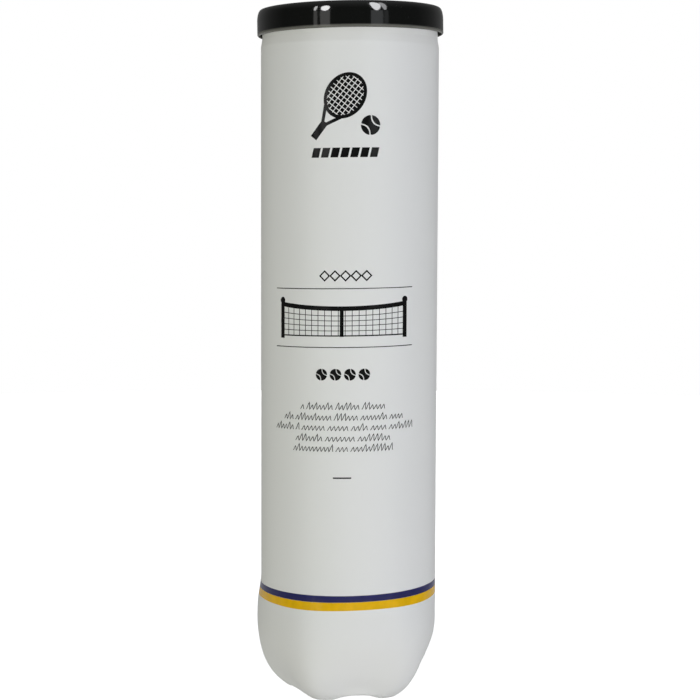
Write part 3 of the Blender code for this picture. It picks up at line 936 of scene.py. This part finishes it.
def make_end_ring(material):
    """The seamed ring: lip, countersink, chuck wall and the rolled double seam."""
    opening = PANEL_HIGH.x + 0.2 * MM
    groove = PANEL_Z - 0.8 * MM
    chuck, hook = SEAM_OUTER - 2.15 * MM, NECK_RADIUS + 0.1 * MM
    path = rounded(
        (opening, PANEL_Z),
        (opening + 0.55 * MM, PANEL_Z, 0.15 * MM),
        (opening + 0.55 * MM, groove, 0.2 * MM),
        (chuck, groove, 0.3 * MM),
        (chuck, SEAM_TOP, 0.7 * MM),
        (SEAM_OUTER, SEAM_TOP, 0.55 * MM),
        (SEAM_OUTER, SEAM_FOOT, 0.35 * MM),
        (hook, SEAM_FOOT, 0.25 * MM),
        (hook, FLANGE_TOP - BODY_WALL - 0.3 * MM),
        steps=6,
    )
    ring = turned_piece("seamed_ring", path, 200, material, "can", "aluminium", ["end_ring"], 60)
    solidify(ring, SHEET)


def make_tear_panel(material):
    """The scored panel: a finger well, a stiffening bead by the score, and the rivet."""
    edge, well = PANEL_HIGH.x, 19.5 * MM
    floor, step, bead = PANEL_Z - 0.8 * MM, PANEL_Z - 0.65 * MM, PANEL_Z - 0.3 * MM
    path = rounded(
        (0.0, floor),
        (9.0 * MM, floor, 1.0 * MM),
        (9.5 * MM, step, 0.8 * MM),
        (10.5 * MM, step, 0.8 * MM),
        (11.0 * MM, floor, 1.0 * MM),
        (well, floor, 1.2 * MM),
        (well + 0.8 * MM, PANEL_Z, 1.2 * MM),
        (edge - 3.4 * MM, PANEL_Z, 0.6 * MM),
        (edge - 2.9 * MM, bead, 0.5 * MM),
        (edge - 2.1 * MM, bead, 0.5 * MM),
        (edge - 1.6 * MM, PANEL_Z, 0.6 * MM),
        (edge, PANEL_Z),
        steps=4,
    )
    looks = (material, "tear_panel", "aluminium")
    solidify(turned_piece("scored_panel", path, 200, *looks, ["tear_panel"], 60), SHEET)
    head, shank = PANEL_HIGH.z, 1.5 * MM
    path = rounded(
        (0.0, head - 0.12 * MM),
        (1.3 * MM, head - 0.12 * MM, 0.2 * MM),
        (1.6 * MM, head, 0.3 * MM),
        (2.5 * MM, head, 0.2 * MM),
        (2.5 * MM, head - 0.5 * MM, 0.2 * MM),
        (shank, head - 0.5 * MM, 0.1 * MM),
        (shank, PANEL_Z - 0.05 * MM),
        (2.2 * MM, PANEL_Z - 0.1 * MM),
        (0.0, PANEL_Z - 0.12 * MM),
        steps=4,
    )
    turned_piece("rivet", path, 48, *looks, (), 50, centre=(RIVET_X, 0.0))


# Ring-pull


def flat_curve(name, outlines, thickness, round_off, middle_z):
    """A mesh of a flat plate with rounded edges, from closed outlines, the later ones being holes."""
    curve = bpy.data.curves.new(name, "CURVE")
    curve.dimensions = "2D"
    curve.fill_mode = "BOTH"
    curve.extrude = thickness / 2 - round_off
    curve.bevel_depth = round_off
    curve.bevel_resolution = 3
    curve.offset = -round_off
    for outline in outlines:
        spline = curve.splines.new("POLY")
        spline.points.add(len(outline) - 1)
        for point, (x, y) in zip(spline.points, outline):
            point.co = (x, y, 0.0, 1.0)
        spline.use_cyclic_u = True
    made = bpy.data.objects.new(name, curve)
    bpy.context.scene.collection.objects.link(made)
    mesh = evaluated_mesh(made)
    bpy.data.objects.remove(made)
    work = bmesh.new()
    work.from_mesh(mesh)
    bmesh.ops.translate(work, verts=work.verts, vec=(0, 0, middle_z))
    bmesh.ops.remove_doubles(work, verts=work.verts, dist=0.001 * MM)
    work.to_mesh(mesh)
    work.free()
    return mesh


def circle(centre_x, radius, count, start=0.0, end=360.0):
    """Points round a circle on the X axis; an arc has both its ends."""
    steps = count if end - start == 360.0 else count - 1
    turns = [math.radians(start + (end - start) * i / steps) for i in range(count)]
    return [(centre_x + radius * math.cos(t), radius * math.sin(t)) for t in turns]


def rounded_rectangle(low, high, left, right):
    """A closed rectangle between two corners, with these radii at its left and right ends."""
    corners = [(low[0], low[1], left), (high[0], low[1], right)]
    corners += [(high[0], high[1], right), (low[0], high[1], left)]
    return [tuple(p) for p in rounded(corners[-1][:2], *corners, corners[0][:2], steps=6)[1:-1]]


def make_pull_ring(material):
    """The ring-pull's ring and nose: pressed plate with its edge curled over round the finger hole."""
    radius, thickness = TAB_HIGH.y, TAB_HIGH.z - TAB_LOW.z
    ring_x = TAB_LOW.x + radius
    finger_x = ring_x - 0.5 * MM
    middle = (TAB_LOW.z + TAB_HIGH.z) / 2
    nose = math.degrees(math.asin(6.5 * MM / TAB_HIGH.x))
    flank = [(RIVET_X + 3.5 * MM, 7.0 * MM), (RIVET_X, 7.2 * MM), (RIVET_X - 3.0 * MM, 7.35 * MM)]
    outline = [
        *circle(0.0, TAB_HIGH.x, 13, -nose, nose),
        *flank,
        *circle(ring_x, radius, 61, 50, 310),
        *[(x, -y) for x, y in reversed(flank)],
    ]
    hole = circle(finger_x, FINGER_RADIUS, 72)
    reach, wide, corner = 4.0 * MM, 3.9 * MM, 1.2 * MM
    slot = rounded_rectangle((RIVET_X - reach, -wide), (RIVET_X + reach, wide), corner, corner)
    mesh = flat_curve("ring", [outline, hole, slot], thickness, 0.42 * MM, middle)
    looks = (material, "pull_ring", "aluminium")
    piece_of("pull_ring_pressed", mesh, *looks, ["pull_ring"], 50)
    curl, curl_height = 0.62 * MM, 0.598 * MM
    turns = [2 * math.pi * i / 16 for i in reversed(range(16))]
    tube = [(FINGER_RADIUS + curl + curl * math.cos(t), middle + curl_height * math.sin(t)) for t in turns]
    turned_piece("pull_ring_finger_curl", tube, 96, *looks, (), 60, centre=(finger_x, 0.0), closed=True)


def make_tongue(material):
    """The riveted tongue that the ring turns about."""
    outline = rounded_rectangle(TONGUE_LOW, TONGUE_HIGH, 0.9 * MM, 0.3 * MM)
    hole = circle(RIVET_X, 1.75 * MM, 40)
    thickness = TONGUE_HIGH.z - TONGUE_LOW.z
    middle = (TONGUE_LOW.z + TONGUE_HIGH.z) / 2
    mesh = flat_curve("tongue", [outline, hole], thickness, 0.12 * MM, middle)
    piece_of("tab_tongue_pressed", mesh, material, "tear_panel", "aluminium", ["tab_tongue"], 50)


# Lid


def make_lid(material):
    """The press-on lid, with every corner rounded as it was moulded."""
    low, high = LID_LOW.z, LID_HIGH.z
    outer, inner = LID_HIGH.x - 0.28 * MM, LID_HIGH.x - 1.0 * MM
    plug = SEAM_OUTER - 2.6 * MM
    sunk, rim = high - 1.2 * MM, high - 1.1 * MM
    bead = SEAM_FOOT - 0.1 * MM
    # The shoulder of the lid is rounded deeper than it is wide.
    wide, deep = 1.5 * MM, 4.6 * MM
    turns = [math.pi / 2 * (1 - i / 20) for i in range(21)]
    shoulder = [(outer - wide * (1 - math.cos(t)), high - deep * (1 - math.sin(t))) for t in turns]
    path = rounded(
        (0.0, sunk),
        (plug, sunk, 0.5 * MM),
        (plug + 0.5 * MM, high, 0.3 * MM),
        *shoulder,
        (outer, high - deep - 0.2 * MM),
        (outer, high - deep - 0.4 * MM),
        (outer, low, 0.7 * MM),
        (inner, low, 0.25 * MM),
        (inner, bead - 1.2 * MM, 0.5 * MM),
        (inner - 0.1 * MM, bead - 0.6 * MM, 0.5 * MM),
        (inner, bead, 0.5 * MM),
        (inner, rim, 0.3 * MM),
        (plug, rim, 0.2 * MM),
        (plug, sunk - 1.0 * MM, 0.3 * MM),
        (0.0, sunk - 1.0 * MM),
        steps=8,
    )
    looks = (material, "lid", "black_lid")
    turned_piece("press_on_lid", path, 240, *looks, ["lid"], 40, matrix=LID_MATRIX)
    # The mark that the moulding gate left in the middle of the lid
    mark = rounded(
        (0.0, sunk + 0.05 * MM),
        (0.9 * MM, sunk + 0.12 * MM, 0.2 * MM),
        (1.5 * MM, sunk + 0.1 * MM, 0.2 * MM),
        (1.9 * MM, sunk - 0.05 * MM),
        (0.0, sunk - 0.06 * MM),
        steps=4,
    )
    turned_piece("lid_gate_mark", mark, 40, *looks, (), 60, matrix=LID_MATRIX)


# Balls


BALL_RADIUS = 33.1 * MM
SEAM_WAIST = 1 / 3
SEAM_HALF_GROOVE = 1.2 * MM
FELT_THICKNESS = 2.5 * MM
CORE_RADIUS = 30 * MM
CORE_WALL = 3.4 * MM
# The turns of the balls in the CAD model, lowest first: X, Y and Z in degrees.
BALL_TURNS = {1: (12, 25, 0), 2: (64, -18, 40), 3: (-35, 40, 115), 4: (82, 8, -70)}


def seam_point(turn):
    """A point of the seam on a sphere of radius 1. The cover with its waist over +Z has turn 0 to pi."""
    wide, narrow = (1 + SEAM_WAIST) / 2, (1 - SEAM_WAIST) / 2
    rise = 2 * math.sqrt(wide * narrow)
    return Vector(
        (
            wide * math.cos(turn) - narrow * math.cos(3 * turn),
            wide * math.sin(turn) + narrow * math.sin(3 * turn),
            -rise * math.cos(2 * turn),
        )
    )


def cover_edge(turn, inset):
    """A point of the cover's edge: the seam's point moved into the cover by the inset, as an angle."""
    point = seam_point(turn)
    step = 0.001
    along = (seam_point(turn + step) - seam_point(turn - step)).normalized()
    return (point + inset * point.cross(along)).normalized()


def fuzzy(point, seed):
    """The height of the felt's nap at a point of the sphere, from -1 to 1."""
    fine = noise.noise(point * 1300 + Vector((seed, 0, 0)))
    coarse = noise.noise(point * 420 + Vector((0, seed, 0)))
    return 0.55 * fine + 0.6 * coarse


def make_cover(name, ball, matrix, material, node, seed):
    """One dog-bone felt cover with a napped face and edges that roll down into the seam."""
    rows, columns = 64, 32
    inset = SEAM_HALF_GROOVE / BALL_RADIUS
    points = []
    for row in range(1, rows):
        edge = cover_edge(math.pi * row / rows, inset)
        along, half_width = math.atan2(edge.x, edge.z), math.asin(edge.y)
        to_tip = min(row, rows - row) / rows * math.pi * BALL_RADIUS * 0.5
        for column in range(columns + 1):
            share = 1 - 2 * column / columns
            across = half_width * share
            inwards = min((1 - abs(share)) * half_width * BALL_RADIUS, to_tip)
            roll = 0.7 * MM * max(0.0, 1 - inwards / (1.4 * MM)) ** 2
            level = math.cos(across)
            place = Vector((level * math.sin(along), math.sin(across), level * math.cos(along)))
            nap = 0.1 * MM * fuzzy(place * BALL_RADIUS, seed) * min(1.0, inwards / (1.5 * MM) + 0.2)
            points.append(place * (BALL_RADIUS - 0.12 * MM - roll + nap))
    first_tip, last_tip = len(points), len(points) + 1
    points += [cover_edge(turn, inset) * (BALL_RADIUS - 0.8 * MM) for turn in (0.0, math.pi)]
    wide = columns + 1
    faces = []
    for row in range(rows - 2):
        here, there = row * wide, (row + 1) * wide
        faces += [(here + i, there + i, there + i + 1, here + i + 1) for i in range(columns)]
    last = (rows - 2) * wide
    faces += [(first_tip, i, i + 1) for i in range(columns)]
    faces += [(last_tip, last + i + 1, last + i) for i in range(columns)]
    cover = piece(name, points, faces, material, ball, "ball_felt", [node], 80, matrix)
    solidify(cover, FELT_THICKNESS - 0.2 * MM, even=False)


def make_fuzz(name, ball, matrix, material, seed):
    """Loose fibres of the nap: short bent hairs that lie close to the ball."""
    random = Random(seed)
    points, faces = [], []
    count = 1500
    while len(points) < 7 * count:
        normal = Vector([random.gauss(0, 1) for _ in range(3)]).normalized()
        if near_seam(normal, 1.9 * MM / BALL_RADIUS):
            continue
        side = normal.cross(Vector([random.gauss(0, 1) for _ in range(3)])).normalized()
        forward = normal.cross(side)
        length = random.uniform(0.6, 1.6) * MM
        lift = random.uniform(0.12, 0.34) * MM
        bend = random.uniform(-0.5, 0.5) * MM
        width = random.uniform(0.018, 0.03) * MM
        root = normal * (BALL_RADIUS - 0.25 * MM)
        middle = root + forward * 0.55 * length + side * bend * 0.4 + normal * (lift + 0.25 * MM)
        tip = (root + forward * length + side * bend + normal * lift).normalized() * (BALL_RADIUS + 0.1 * MM)
        first = len(points)
        for centre in (root, middle):
            for turn in (0, 2 * math.pi / 3, 4 * math.pi / 3):
                points.append(centre + width * (side * math.cos(turn) + normal * math.sin(turn)))
        points.append(tip)
        for i in range(3):
            j = (i + 1) % 3
            faces.append((first + i, first + j, first + 3 + j, first + 3 + i))
            faces.append((first + 3 + i, first + 3 + j, first + 6))
        faces.append((first, first + 2, first + 1))
    piece(name, points, faces, material, ball, "ball_felt", (), 80, matrix)


SEAM_SAMPLES = [seam_point(2 * math.pi * i / 120) for i in range(120)]


def near_seam(normal, reach):
    """True if this direction is within reach, as an angle, of the seam."""
    return any(normal.dot(sample) > math.cos(reach) for sample in SEAM_SAMPLES)


def make_seam(name, ball, matrix, material, node):
    """The band of cement in the groove, slightly hollow across."""
    around, ring = 240, 12
    centre_radius = BALL_RADIUS - 1.25 * MM
    points, faces = [], []
    for i in range(around):
        turn = 2 * math.pi * i / around
        normal = seam_point(turn)
        along = (seam_point(turn + 0.001) - seam_point(turn - 0.001)).normalized()
        across = normal.cross(along)
        for j in range(ring):
            angle = 2 * math.pi * j / ring
            wave = 0.05 * MM * noise.noise(normal * 60)
            out = (0.62 * MM + wave) * math.sin(angle) - (0.1 * MM if j == 3 else 0.0)
            points.append(normal * (centre_radius + out) + across * 1.02 * MM * math.cos(angle))
    for i in range(around):
        here, there = i * ring, (i + 1) % around * ring
        faces += [(here + j, there + j, there + (j + 1) % ring, here + (j + 1) % ring) for j in range(ring)]
    faces = [face[::-1] for face in faces]
    piece(name, points, faces, material, ball, "ball_seam", [node], 80, matrix)


def make_core_half(name, ball, matrix, material, node):
    """Half of the hollow core, with a small rounded edge at the joint."""
    edge, gap = 0.4 * MM, 0.1 * MM
    turns = [math.pi / 2 * i / 24 for i in range(25)]
    outer, inner = [
        [(radius * math.sin(t), max(gap, radius * math.cos(t))) for t in turns]
        for radius in (CORE_RADIUS, CORE_RADIUS - CORE_WALL)
    ]
    outer[-1] = (CORE_RADIUS - edge, gap)
    turned_piece(name, [*outer, *inner[::-1]], 72, material, ball, "ball_rubber", [node], 40, matrix=matrix)


def make_balls():
    """All the balls, each piece standing for its CAD node."""
    rubber, cement = core_rubber(), seam_cement()
    nap, hair = felt("felt", 1.0), felt("felt_fibres", 1.08)
    half_turn = Euler((math.pi, 0.0, math.pi / 2)).to_matrix().to_4x4()
    halves = {"lower": Matrix.Diagonal((1, -1, -1, 1)), "upper": Matrix()}
    covers = {"a": Matrix(), "b": half_turn}
    for number in BALLS:
        body = f"ball_{number}"
        low, high = box_of(body + "_core_lower", body + "_core_upper")
        turns = Euler([math.radians(turn) for turn in BALL_TURNS[number]])
        matrix = Matrix.Translation((low + high) / 2) @ turns.to_matrix().to_4x4()
        for half, flip in halves.items():
            node = f"{body}_core_{half}"
            make_core_half(node + "_moulded", body, matrix @ flip, rubber, node)
        for order, (cover, flip) in enumerate(covers.items()):
            node = f"{body}_felt_{cover}"
            make_cover(node + "_napped", body, matrix @ flip, nap, node, 10 * number + order)
        make_seam(body + "_seam_band", body, matrix, cement, body + "_seam")
        make_fuzz(body + "_fibres", body, matrix, hair, number)


def main():
    """Everything, outside in."""
    make_camera()
    make_studio()
    make_can_body(white_pet())
    black = ink("ink_black", (0.008, 0.008, 0.008))
    make_stripe("stripe_navy", NAVY_TOP, NAVY_BOTTOM, ink("ink_navy", (0.031, 0.031, 0.125)))
    make_stripe("stripe_yellow", YELLOW_TOP, YELLOW_BOTTOM, ink("ink_yellow", (0.88, 0.51, 0.006)))
    make_front_print("front", black, PRINT_TURN)
    make_front_print("back", black, PRINT_TURN + math.pi)
    rolled, spun = aluminium("aluminium_sheet", (1, 14, 1)), aluminium("aluminium_rolled", (1, 1, 9))
    make_end_ring(spun)
    make_tear_panel(rolled)
    make_pull_ring(rolled)
    make_tongue(rolled)
    make_lid(black_lid())
    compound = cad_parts["sealing_compound"]
    compound.data.materials.clear()
    compound.data.materials.append(sealing_compound())
    make_balls()


main()
